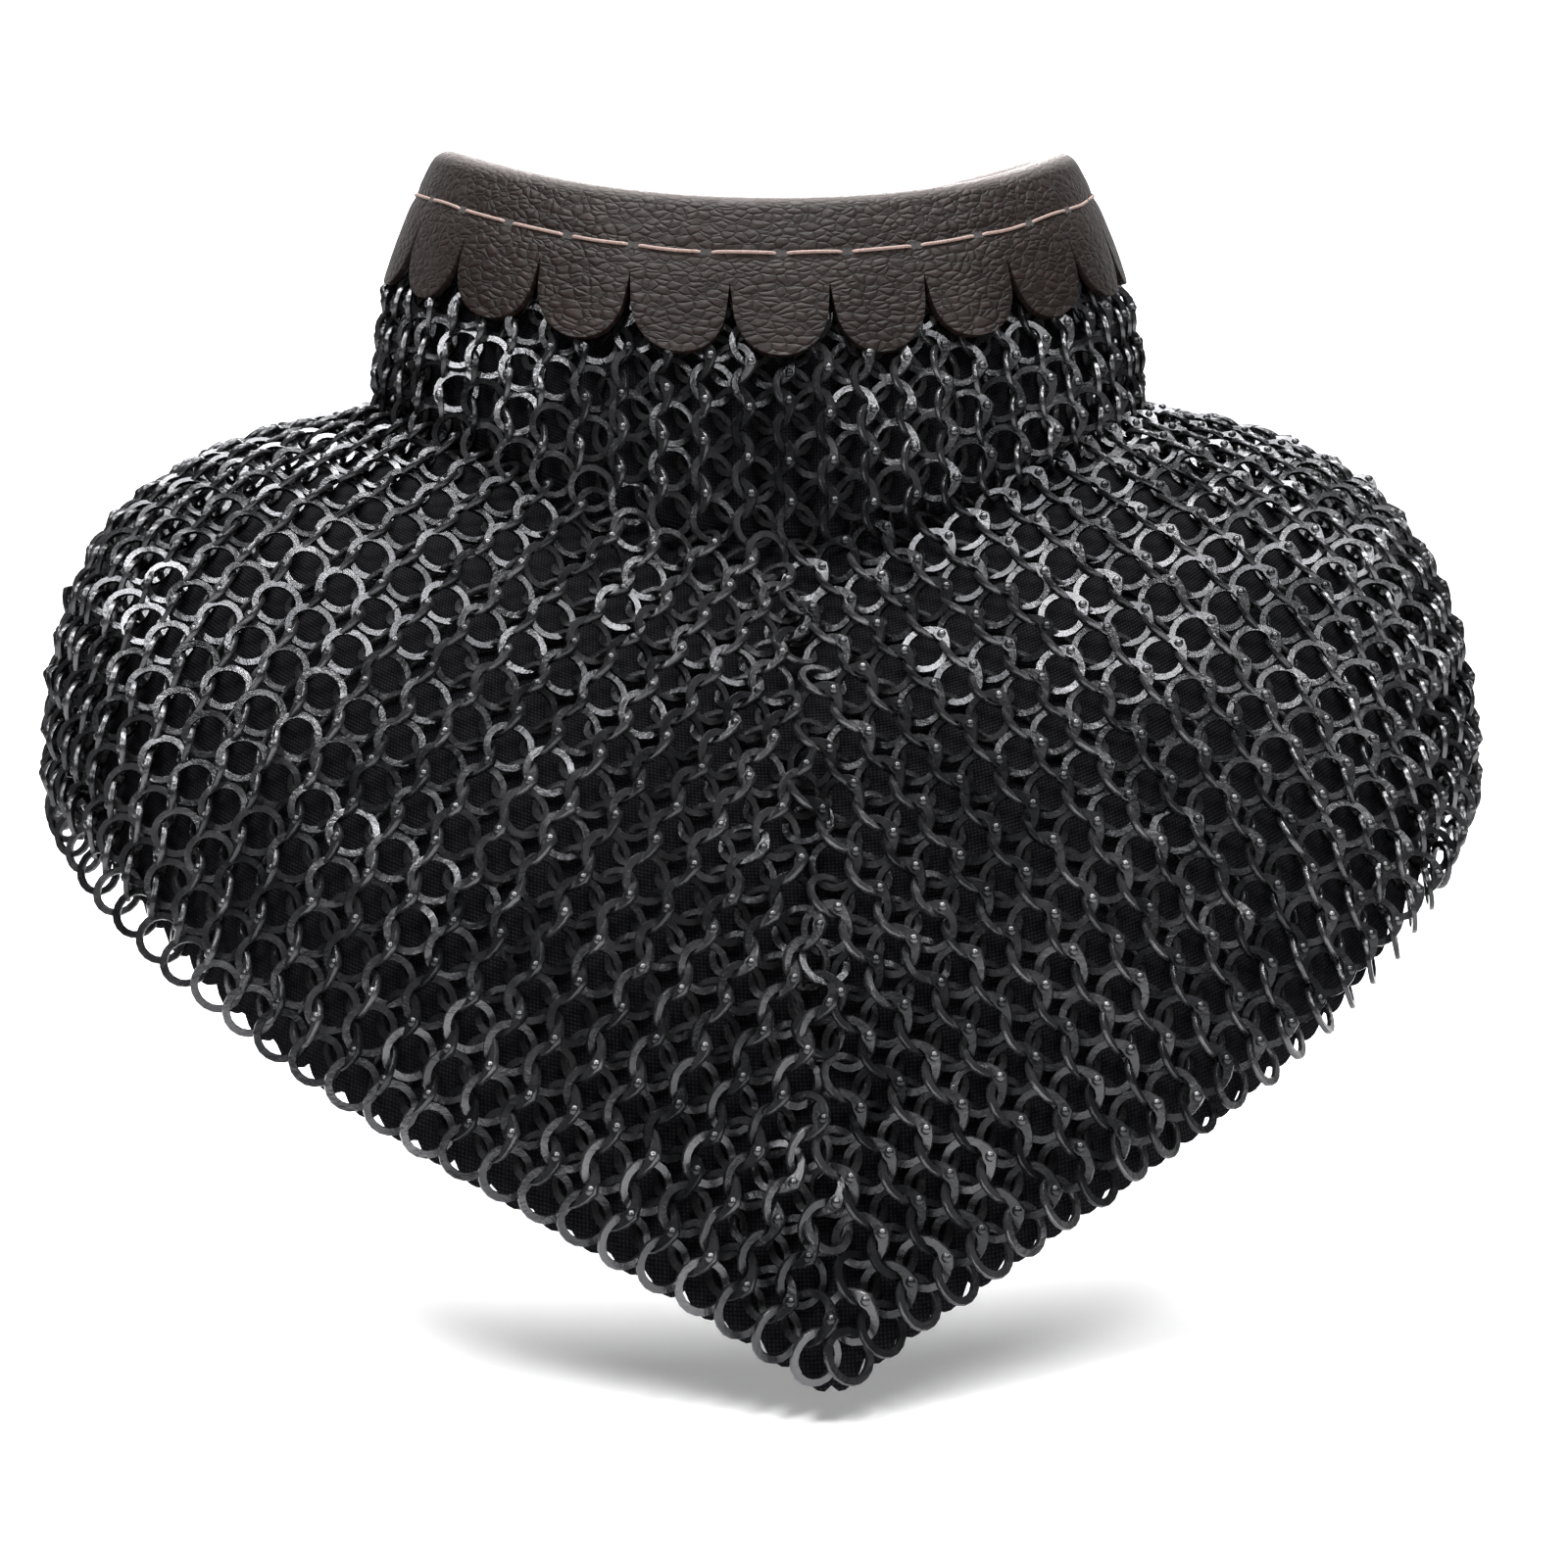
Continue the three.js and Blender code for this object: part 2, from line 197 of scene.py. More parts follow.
def around(values, theta):
    """A smooth even curve round the garment through values at equal steps from front to back."""
    last = len(values) - 1
    ends = np.array([0.5 if j in (0, last) else 1.0 for j in range(last + 1)])
    total = np.zeros_like(np.asarray(theta, float))
    for k in range(last + 1):
        share = sum(ends[j] * values[j] * math.cos(j * k * math.pi / last) for j in range(last + 1))
        total = total + ends[k] * 2 / last * share * np.cos(k * theta)
    return total


def neck_height(theta):
    return around(NECK["rim_height"], theta) - around(NECK["base_height"], theta)


def profile(theta, down):
    """Radius and height of the mail's middle surface, at a distance down from the neck's base."""
    theta, down = np.broadcast_arrays(np.asarray(theta, float), np.asarray(down, float))
    base_radius = around(NECK["base_radius"], theta)
    base_height = around(NECK["base_height"], theta)
    taper = (np.maximum(-down, 0) / neck_height(theta)) ** NECK_TAPER
    radius = base_radius + (around(NECK["rim_radius"], theta) - base_radius) * taper
    height = base_height + np.maximum(-down, 0)
    fall = np.array([around(row, theta) for row in FALL])
    step = np.maximum(down, 0) / FALL_STEPS
    for i in range(FALL_STEPS):
        distance = (i + 0.5) * step
        angle = fall[0].copy()
        for j in range(1, len(FALL)):
            low, high = FALL_DISTANCES[j - 1], FALL_DISTANCES[j]
            part = np.clip((distance - low) / (high - low), 0, 1)
            angle += (fall[j] - fall[j - 1]) * part
        radius = radius + np.cos(np.radians(angle)) * step
        height = height - np.sin(np.radians(angle)) * step
    return radius, height


def place(theta, down, out):
    """Points off the middle surface, in millimetres."""
    theta, down, out = np.broadcast_arrays(
        np.asarray(theta, float), np.asarray(down, float), np.asarray(out, float)
    )
    radius, height = profile(theta, down)
    above = profile(theta, down - NORMAL_REACH)
    below = profile(theta, down + NORMAL_REACH)
    along_r, along_z = below[0] - above[0], below[1] - above[1]
    length = np.hypot(along_r, along_z)
    r = radius - along_z / length * out
    z = height + along_r / length * out
    return np.stack([r * np.sin(theta), -r * np.cos(theta), z], -1)


def pattern_angle(theta):
    """The angle in a panel's flat pattern from the line that stands square to its hem."""
    turn = np.abs(theta)
    middle = np.where(turn < math.pi / 2, HEM_MIDDLE, math.pi - HEM_MIDDLE)
    return SECTOR_SHARE * (turn - middle)


def eased(theta, flat_down):
    """A distance down the flat pattern as it lies when worn: shorter at the sides."""
    whole = HEM_REACH / np.cos(pattern_angle(theta)) - PATTERN_RADIUS
    return flat_down * (1 + around(HEM_EASE, theta) / whole)


def make_mesh(name, points, faces, smooth=True):
    """A mesh object from points in millimetres and arrays of faces, one for each corner count."""
    mesh = bpy.data.meshes.new(name)
    faces = [np.asarray(block) for block in faces if len(block)]
    loops = np.concatenate([block.ravel() for block in faces]).astype(np.int32)
    counts = np.concatenate([np.full(len(block), block.shape[1]) for block in faces])
    starts = np.concatenate([[0], np.cumsum(counts)[:-1]]).astype(np.int32)
    mesh.vertices.add(len(points))
    mesh.vertices.foreach_set("co", (np.asarray(points) * MM).astype(np.float32).ravel())
    mesh.loops.add(len(loops))
    mesh.loops.foreach_set("vertex_index", loops)
    mesh.polygons.add(len(starts))
    mesh.polygons.foreach_set("loop_start", starts)
    mesh.polygons.foreach_set("use_smooth", np.full(len(starts), smooth))
    mesh.update(calc_edges=True)
    mesh.validate()
    piece = bpy.data.objects.new(name, mesh)
    bpy.context.collection.objects.link(piece)
    return piece


def add_float(piece, name, values):
    attribute = piece.data.attributes.new(name, "FLOAT", "POINT")
    attribute.data.foreach_set("value", np.asarray(values, np.float32))


def add_uv(piece, point_uv):
    """A UV map in millimetres from one pair for each point."""
    mesh = piece.data
    index = np.empty(len(mesh.loops), np.int32)
    mesh.loops.foreach_get("vertex_index", index)
    layer = mesh.uv_layers.new(name="flat")
    layer.data.foreach_set("uv", np.asarray(point_uv, np.float32)[index].ravel())


class Nodes:
    """Short calls for building one node material."""

    def __init__(self, name):
        self.material = bpy.data.materials.new(name)
        self.material.use_nodes = True
        self.tree = self.material.node_tree
        self.shader = self.tree.nodes["Principled BSDF"]

    def add(self, kind, inputs=None, **settings):
        node = self.tree.nodes.new(kind)
        for key, value in settings.items():
            setattr(node, key, value)
        for key, value in (inputs or {}).items():
            self.put(node.inputs[key], value)
        return node

    def put(self, socket, value):
        if isinstance(value, bpy.types.NodeSocket):
            self.tree.links.new(value, socket)
        else:
            socket.default_value = value

    def math(self, operation, first, second=0.5, clamp=False):
        node = self.add("ShaderNodeMath", {0: first, 1: second}, operation=operation, use_clamp=clamp)
        return node.outputs[0]

    def ramp(self, factor, stops):
        node = self.add("ShaderNodeValToRGB", {"Fac": factor})
        while len(node.color_ramp.elements) < len(stops):
            node.color_ramp.elements.new(0.5)
        for element, (position, colour) in zip(node.color_ramp.elements, stops):
            element.position = position
            element.color = (*colour, 1)
        return node.outputs[0]

    def mix(self, factor, first, second):
        node = self.add("ShaderNodeMix", data_type="RGBA")
        self.put(node.inputs[0], factor)
        self.put(node.inputs[6], first)
        self.put(node.inputs[7], second)
        return node.outputs[2]

    def bump(self, height, distance, strength=1.0, below=None):
        inputs = {"Height": height, "Distance": distance, "Strength": strength}
        if below is not None:
            inputs["Normal"] = below
        return self.add("ShaderNodeBump", inputs).outputs[0]


def steel_material(name, dark, bright, roughness):
    """Blackened steel with a tone for each ring, fine scale, and a rubbed grain."""
    n = Nodes(name)
    place_at = n.add("ShaderNodeTexCoord").outputs["Object"]
    tone = n.add("ShaderNodeAttribute", attribute_name="tone").outputs["Fac"]
    mottle = n.add(
        "ShaderNodeTexNoise", {"Vector": place_at, "Scale": 260, "Detail": 5, "Roughness": 0.65}
    )
    grain = n.add("ShaderNodeTexNoise", {"Vector": place_at, "Scale": 1500, "Detail": 3})
    mixed = n.math("ADD", n.math("MULTIPLY", tone, 0.6), n.math("MULTIPLY", mottle.outputs["Fac"], 0.4))
    half_way = tuple((a + b) / 2 for a, b in zip(dark, bright))
    colour = n.ramp(mixed, [(0.15, dark), (0.55, half_way), (0.9, bright)])
    n.put(n.shader.inputs["Base Color"], colour)
    n.put(n.shader.inputs["Metallic"], 0.85)
    rough = n.math("ADD", n.math("MULTIPLY", mottle.outputs["Fac"], 0.3), roughness - 0.15)
    n.put(n.shader.inputs["Roughness"], rough)
    coarse = n.bump(mottle.outputs["Fac"], 0.0005, 0.6)
    n.put(n.shader.inputs["Normal"], n.bump(grain.outputs["Fac"], 0.00005, 0.5, coarse))
    return n.material


def cloth_material():
    """Black plain-woven cloth: over and under threads, with a little unevenness, and painted shade
    darkening the colour between the threads.
    """
    n = Nodes("black_cloth")
    uv = n.add("ShaderNodeUVMap", uv_map="flat").outputs["UV"]
    parts = n.add("ShaderNodeSeparateXYZ", {"Vector": uv})
    warp = n.math("SINE", n.math("MULTIPLY", parts.outputs["X"], TAU / THREAD_PITCH / 2))
    weft = n.math("SINE", n.math("MULTIPLY", parts.outputs["Y"], TAU / THREAD_PITCH / 2))
    weave = n.math("MULTIPLY", warp, weft)
    wavy = n.add("ShaderNodeTexNoise", {"Vector": uv, "Scale": 0.9, "Detail": 4})
    height = n.math("ADD", n.math("ABSOLUTE", weave), n.math("MULTIPLY", wavy.outputs["Fac"], 0.8))
    # The colour follows the weave's height: painted shade between the threads, plus random unevenness
    # from the noise.
    shade = n.math("MULTIPLY", height, 0.6, clamp=True)
    blacks = [
        (0.1, (0.001, 0.001, 0.0012)),
        (0.55, (0.004, 0.004, 0.005)),
        (0.95, (0.012, 0.012, 0.014)),
    ]
    n.put(n.shader.inputs["Base Color"], n.ramp(shade, blacks))
    n.put(n.shader.inputs["Roughness"], 1.0)
    n.put(n.shader.inputs["Specular IOR Level"], 0.04)
    n.put(n.shader.inputs["Normal"], n.bump(height, 0.0003, 0.9))
    return n.material


def leather_material():
    """Dark brown pebbled leather, darker in its creases (painted shade), with a pale painted highlight
    and a smoother finish along the fold's top and the strap's long edges.
    """
    n = Nodes("pebbled_leather")
    uv = n.add("ShaderNodeUVMap", uv_map="flat").outputs["UV"]
    warp = n.add("ShaderNodeTexNoise", {"Vector": uv, "Scale": 0.16, "Detail": 2})
    shift = n.add(
        "ShaderNodeVectorMath", {0: warp.outputs["Color"], 1: (2.6, 2.6, 0)}, operation="MULTIPLY"
    )
    moved = n.add("ShaderNodeVectorMath", {0: uv, 1: shift.outputs[0]}, operation="ADD").outputs[0]
    stretched = n.add("ShaderNodeVectorMath", {0: moved, 1: (0.75, 1.25, 1)}, operation="MULTIPLY")
    longer = stretched.outputs[0]
    pebble = n.add("ShaderNodeTexVoronoi", {"Vector": longer, "Scale": 0.42}, feature="SMOOTH_F1")
    small = n.add("ShaderNodeTexVoronoi", {"Vector": longer, "Scale": 1.1}, feature="SMOOTH_F1")
    crease = n.add("ShaderNodeTexVoronoi", {"Vector": longer, "Scale": 0.42}, feature="DISTANCE_TO_EDGE")
    domed = n.math("SUBTRACT", 1.0, n.math("POWER", pebble.outputs["Distance"], 2.0))
    fine = n.math("SUBTRACT", 1.0, small.outputs["Distance"])
    valley = n.math("POWER", n.math("MULTIPLY", crease.outputs["Distance"], 3.2, clamp=True), 0.6)
    pebbled = n.math("ADD", n.math("MULTIPLY", domed, 0.45), n.math("MULTIPLY", valley, 0.4))
    height = n.math("ADD", pebbled, n.math("MULTIPLY", fine, 0.12))
    highlight_and_wear = n.add("ShaderNodeAttribute", attribute_name="highlight_and_wear").outputs["Fac"]
    cloud = n.add("ShaderNodeTexNoise", {"Vector": uv, "Scale": 0.05, "Detail": 4})
    # Darker in the creases: painted shade in the crease valleys, plus a random cloudy tone.
    tone = n.math("ADD", n.math("MULTIPLY", valley, 0.4), n.math("MULTIPLY", cloud.outputs["Fac"], 0.6))
    browns = [
        (0.15, (0.0014, 0.0007, 0.0005)),
        (0.5, (0.0045, 0.0024, 0.0018)),
        (0.85, (0.0100, 0.0058, 0.0046)),
    ]
    # The pale colour is a painted highlight, mixed in along the top of the fold and towards the strap's
    # long edges.
    highlighted_browns = n.mix(n.math("MULTIPLY", highlight_and_wear, 0.7), n.ramp(tone, browns), (0.2, 0.178, 0.172, 1))
    n.put(n.shader.inputs["Base Color"], highlighted_browns)
    n.put(n.shader.inputs["Roughness"], n.math("SUBTRACT", 0.52, n.math("MULTIPLY", highlight_and_wear, 0.08)))
    n.put(n.shader.inputs["Specular IOR Level"], 0.07)
    n.put(n.shader.inputs["Normal"], n.bump(height, 0.0009, 0.7))
    return n.material


def plain_material(name, dark, light, scale, roughness):
    """A small matt thing, such as thread, with a fine mottled tone."""
    n = Nodes(name)
    place_at = n.add("ShaderNodeTexCoord").outputs["Object"]
    noise = n.add("ShaderNodeTexNoise", {"Vector": place_at, "Scale": scale, "Detail": 4})
    n.put(n.shader.inputs["Base Color"], n.ramp(noise.outputs["Fac"], [(0.3, dark), (0.7, light)]))
    n.put(n.shader.inputs["Roughness"], roughness)
    n.put(n.shader.inputs["Normal"], n.bump(noise.outputs["Fac"], 0.0002, 0.6))
    return n.material


SOLID_STEEL = steel_material("solid_ring_steel", (0.010, 0.0104, 0.0115), (0.078, 0.078, 0.082), 0.25)
RIVETED_STEEL = steel_material("riveted_ring_steel", (0.009, 0.0094, 0.0105), (0.060, 0.060, 0.063), 0.28)
STUD_STEEL = steel_material("stud_steel", (0.10, 0.095, 0.09), (0.34, 0.33, 0.31), 0.38)
CLOTH = cloth_material()
LEATHER = leather_material()
THREAD = plain_material("waxed_thread", (0.09, 0.055, 0.046), (0.2, 0.135, 0.115), 2500, 0.7)
# The needle hole's near-black colour is painted shade: a flat disc stands in for the hole's depth.
HOLE_SHADE = plain_material("needle_hole_shade", (0.004, 0.003, 0.003), (0.010, 0.008, 0.007), 900, 0.95)


def ring_section():
    """The band's section: two flat faces that meet in an edge inside and one outside."""
    middle = (RING_INNER + RING_OUTER) / 2
    half = (RING_OUTER - RING_INNER) / 2
    flat = half - RING_CHAMFER
    thick = RING_HALF_THICK
    return [
        (middle - flat, -thick), (middle + flat, -thick), (middle + half, 0),
        (middle + flat, thick), (middle - flat, thick), (middle - half, 0),
    ]


def ring_template(riveted):
    """Points and faces of one ring. A riveted ring widens to a lens round its domed rivet, at +x."""
    section = ring_section()
    sides = len(section)
    middle = (RING_INNER + RING_OUTER) / 2
    points = []
    for i in range(RING_SEGMENTS):
        angle = TAU * i / RING_SEGMENTS
        from_rivet = min(angle, TAU - angle)
        swell = math.exp(-((from_rivet / RIVET_LENS_ANGLE) ** 2)) if riveted else 0
        for radius, height in section:
            r = middle + (radius - middle) * (1 + swell) + 0.1 * swell
            z = height * (1 + 0.3 * swell) + RING_WARP * math.cos(2 * angle)
            points.append((r * math.cos(angle), r * math.sin(angle), z))
    quads = []
    for i in range(RING_SEGMENTS):
        after = (i + 1) % RING_SEGMENTS
        for j in range(sides):
            k = (j + 1) % sides
            quads.append((i * sides + j, after * sides + j, after * sides + k, i * sides + k))
    triangles = []
    if riveted:
        add_rivet(points, quads, triangles, middle + 0.15)
    return np.array(points), np.array(quads), np.array(triangles).reshape(-1, 3)


def add_rivet(points, quads, triangles, centre):
    """Adds a low domed head on the band, centred at a distance from the ring's middle."""
    first = len(points)
    for share, height in ((1.0, RING_HALF_THICK), (0.75, RING_HALF_THICK + RIVET_RISE * 0.7)):
        for i in range(RIVET_SIDES):
            angle = TAU * i / RIVET_SIDES
            reach = RIVET_RADIUS * share
            points.append((centre + reach * math.cos(angle), reach * math.sin(angle), height))
    points.append((centre, 0, RING_HALF_THICK + RIVET_RISE))
    for i in range(RIVET_SIDES):
        after = (i + 1) % RIVET_SIDES
        upper = first + RIVET_SIDES
        quads.append((first + i, first + after, upper + after, upper + i))
        triangles.append((upper + i, upper + after, len(points) - 1))


TEMPLATES = {True: ring_template(True), False: ring_template(False)}


def unit(vectors):
    return vectors / np.linalg.norm(vectors, axis=-1, keepdims=True)


def ring_axes(point_at, along, across, tilt_by, riveted, swing):
    """Centres and in-plane axes of rings, on the surface that point_at maps."""
    step = 1.5
    centres = point_at(along, across)
    chain = unit(point_at(along + step, across) - point_at(along - step, across))
    side = unit(point_at(along, across + step) - point_at(along, across - step))
    normal = unit(np.cross(side, chain))
    outward = np.where((normal * centres).sum(-1, keepdims=True) < 0, -normal, normal)
    count = len(centres)
    chain = unit(chain + AXIS_NOISE * random.standard_normal((count, 3)))
    side = unit(side - chain * (side * chain).sum(-1, keepdims=True))
    sign = 1 if riveted else -1
    tilt = (tilt_by + TILT_NOISE * random.standard_normal(count))[:, None] * sign
    wide = unit(side * np.cos(tilt) + outward * np.sin(tilt))
    face = np.cross(wide, chain)
    chain = np.where((face * outward).sum(-1, keepdims=True) < 0, -chain, chain)
    turn = (swing * random.uniform(-1, 1, count))[:, None]
    x_axis = wide * np.cos(turn) + chain * np.sin(turn)
    y_axis = chain * np.cos(turn) - wide * np.sin(turn)
    jitter = PLACE_NOISE * random.standard_normal((count, 3))
    return centres + jitter, x_axis, y_axis


def join_rings(name, groups, node):
    """One mesh from groups of (riveted, centres, x axes, y axes)."""
    points, quads, triangles, tones, sections, slots = [], [], [], [], [], []
    first = 0
    for riveted, centres, x_axis, y_axis in groups:
        shape, quad, triangle = TEMPLATES[riveted]
        z_axis = np.cross(x_axis, y_axis)
        count, each = len(centres), len(shape)
        placed = (
            centres[:, None]
            + shape[None, :, 0, None] * x_axis[:, None]
            + shape[None, :, 1, None] * y_axis[:, None]
            + shape[None, :, 2, None] * z_axis[:, None]
        )
        offsets = first + each * np.arange(count)
        points.append(placed.reshape(-1, 3))
        quads.append((quad[None] + offsets[:, None, None]).reshape(-1, 4))
        triangles.append((triangle[None] + offsets[:, None, None]).reshape(-1, 3))
        tones.append(np.repeat(random.uniform(0, 1, count), each))
        in_ring = np.arange(each)
        on_band = in_ring < RING_SEGMENTS * SECTION_CORNERS
        sections.append(np.tile(np.where(on_band, in_ring % SECTION_CORNERS, -1), count))
        slots.append((count * len(quad), count * len(triangle), int(riveted)))
        first += each * count
    piece = make_mesh(name, np.concatenate(points), [np.concatenate(quads), np.concatenate(triangles)])
    add_float(piece, "tone", np.concatenate(tones))
    mark_band_edges(piece.data, np.concatenate(sections))
    piece.data.materials.append(SOLID_STEEL)
    piece.data.materials.append(RIVETED_STEEL)
    material_index = np.concatenate(
        [np.full(q, slot) for q, _, slot in slots] + [np.full(t, slot) for _, t, slot in slots]
    )
    piece.data.polygons.foreach_set("material_index", material_index.astype(np.int32))
    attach(piece, "root")
    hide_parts(node)


def mark_band_edges(mesh, section):
    """Keeps the band's two flat faces crisp: the edges along their borders are sharp."""
    ends = np.empty(len(mesh.edges) * 2, np.int32)
    mesh.edges.foreach_get("vertices", ends)
    first, second = section[ends[::2]], section[ends[1::2]]
    sharp = (first == second) & np.isin(first, (0, 1, 3, 4))
    mesh.attributes.new("sharp_edge", "BOOLEAN", "EDGE").data.foreach_set("value", sharp)


def leather_cover(theta, down):
    """1 under the binding and 0 below it, with a short change between."""
    depth = neck_height(theta) + down
    return np.clip((around(BINDING_DEPTH, theta) + 3 - depth) / 8, 0, 1)


def neck_rings():
    """The neck's chains stand upright and leave the slit at the back open."""
    chain_turn = TAU / NECK_CHAINS
    chains = np.arange(-NECK_CHAINS // 2, NECK_CHAINS // 2)
    slit_edge = math.pi - SLIT_ANGLE - 0.03
    for name, low, high in (("neck_mail_right", -math.pi, 0), ("neck_mail_left", 0, math.pi)):
        groups = []
        for riveted in (False, True):
            theta = (chains + (0.75 if riveted else 0.25)) * chain_turn
            theta = theta[(theta > low) & (theta < high) & (np.abs(theta) < slit_edge)]
            rows = np.arange(NECK_ROWS) + (0.5 if riveted else 0.0)
            across, row = [grid.ravel() for grid in np.meshgrid(theta, rows)]
            pitch = (neck_height(across) - 3) / np.round(neck_height(across) / PITCH_ALONG)
            down = -pitch * (row + 0.3)
            keep = -down < neck_height(across) - NECK_TOP_MARGIN
            across, down = across[keep], down[keep]
            cover = leather_cover(across, down)
            lift = RING_LIFT * (1 - cover) - 0.2 * cover
            tilt = RING_TILT * (1 - cover) + COVERED_TILT * cover
            radius = around(NECK["base_radius"], across)

            def point_at(along, side, radius=radius, lift=lift):
                return place(side / radius, along, lift)

            axes = ring_axes(point_at, down, across * radius, tilt, riveted, NECK_SWING)
            groups.append((riveted, *axes))
        join_rings(name, groups, "mail_neck")


def panel_rings(name, sign, back):
    """One panel's chains run square to its hem, so they meet the next panel's in a mitre."""
    middle = math.pi - HEM_MIDDLE if back else HEM_MIDDLE
    low, high = (math.pi / 2, math.pi) if back else (0, math.pi / 2)

    def point_at(u, v):
        theta = middle + np.arctan2(sign * v, u) / SECTOR_SHARE
        return place(sign * theta, eased(theta, np.hypot(u, v) - PATTERN_RADIUS), RING_LIFT)

    groups = []
    for riveted in (False, True):
        offset = 0.5 if riveted else 0.0
        chains = (np.arange(-PANEL_HALF_CHAINS, PANEL_HALF_CHAINS) + offset) * PITCH_ACROSS
        rows = LAST_ROW - (np.arange(PANEL_ROWS) + offset) * PITCH_ALONG
        across, along = [grid.ravel() for grid in np.meshgrid(chains, rows)]
        reach = np.hypot(along, across)
        theta = middle + np.arctan2(across, along) / SECTOR_SHARE
        over = MITRE_OVERLAP / (reach * SECTOR_SHARE)
        keep = (theta > low - over) & (theta < high + over) & (reach > PATTERN_RADIUS + NECK_CLEARANCE)
        along, across = along[keep], sign * across[keep]
        tilt = np.full(len(along), RING_TILT)
        groups.append((riveted, *ring_axes(point_at, along, across, tilt, riveted, PANEL_SWING)))
    join_rings(name, groups, "mail_" + name.replace("_mail", ""))


def quads_of(index):
    """Faces between the rows and columns of a grid of point numbers."""
    return np.stack([index[:-1, :-1], index[1:, :-1], index[1:, 1:], index[:-1, 1:]], -1).reshape(-1, 4)


def ribbon(first, second):
    """Faces between two rows of point numbers."""
    return np.stack([first[:-1], first[1:], second[1:], second[:-1]], -1)


def grid_faces(rows, columns, flip=False):
    quads = quads_of(np.arange(rows * columns).reshape(rows, columns))
    return quads[:, ::-1] if flip else quads


def edge_faces(index, offset):
    """Joins a grid's border to the same border of its copy, offset points further on."""
    border = np.concatenate([index[0, :-1], index[:-1, -1], index[-1, :0:-1], index[:0:-1, 0]])
    after = np.roll(border, -1)
    return np.stack([border, after, after + offset, border + offset], -1)


def cloth_wall(name, thetas, top, bottom, rows, node):
    """A thin closed cloth shell between two distances down, with soft creases."""
    part = np.linspace(0, 1, rows)[:, None]
    theta = np.broadcast_to(thetas, (rows, len(thetas)))
    down = top(theta) + (bottom(theta) - top(theta)) * part
    crease = CLOTH_CREASE * np.sin(theta * 19 + down * 0.05) * np.sin(down * 0.11 + theta * 5)
    flare = CLOTH_HEM_FLARE if name != "collar_cloth" else 0
    near_hem = np.clip((part - 0.95) / 0.05, 0, 1) * flare
    outer = place(theta, down, CLOTH_OUTER + crease + near_hem).reshape(-1, 3)
    inner = place(theta, down, CLOTH_INNER + crease + near_hem).reshape(-1, 3)
    index = np.arange(theta.size).reshape(theta.shape)
    faces = [
        grid_faces(*theta.shape),
        grid_faces(*theta.shape, flip=True) + theta.size,
        edge_faces(index, theta.size),
    ]
    piece = make_mesh(name, np.concatenate([outer, inner]), [np.concatenate(faces)])
    radius = profile(theta, down)[0]
    flat = np.stack([theta * radius, down], -1).reshape(-1, 2)
    add_uv(piece, np.concatenate([flat, flat]))
    piece.data.materials.append(CLOTH)
    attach(piece, "root")
    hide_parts(node)


def linings():
    """The collar's cloth, and the mantle's in one front and two back pieces."""
    span = math.pi - SLIT_ANGLE
    quarter = math.pi / 2
    cloth_wall("collar_cloth", np.linspace(-span, span, 241),
               lambda t: 1.5 - neck_height(t), lambda t: 0 * t - 0.03, 24, "lining_collar")

    def hem(theta):
        """Scalloped just inside the last rings' lower edge, and higher at the sides and back."""
        phi = pattern_angle(theta)
        beside = (LAST_ROW * np.tan(phi) / PITCH_ACROSS + 0.5) % 1 - 0.5
        drop = SCALLOP_DROP * np.sqrt(np.maximum(1 - (beside / SCALLOP_HALF_WIDTH) ** 2, 0))
        whole = (LAST_ROW + drop) / np.cos(phi) - PATTERN_RADIUS
        return eased(theta, whole) - around(HEM_SHORTER, theta)

    for name, low, high in (
        ("front_cloth", -quarter + CLOTH_SEAM, quarter - CLOTH_SEAM),
        ("back_left_cloth", quarter + CLOTH_SEAM, 2 * quarter - CLOTH_SEAM),
        ("back_right_cloth", -2 * quarter + CLOTH_SEAM, -quarter - CLOTH_SEAM),
    ):
        columns = 401 if name == "front_cloth" else 201
        node = "lining_" + name.replace("_cloth", "")
        cloth_wall(name, np.linspace(low, high, columns), lambda t: 0 * t + 0.03, hem, 25, node)


def under_strap(theta):
    """1 under the strap at the back and 0 well away from it."""
    return np.clip((np.abs(theta) - 2.35) / 0.3, 0, 1)


def leather_point(theta, depth, out, lift=0):
    """A point on the binding, which lies in slow waves and is drawn in along the stitches."""
    stitch = around(STITCH_DEPTH, theta)
    drawn = -0.45 * np.exp(-(((depth - stitch) / 2.2) ** 2)) if np.ndim(depth) else 0
    wave = 0.35 * np.sin(theta * 13 + 0.7) * np.clip(depth / 20, 0, 1.4)
    pressed = under_strap(theta)
    shift = np.where(np.asarray(out) > 0, (drawn + wave) * (1 - pressed) - 0.6 * pressed, 0)
    return place(theta, depth - neck_height(theta) - lift, out + shift)


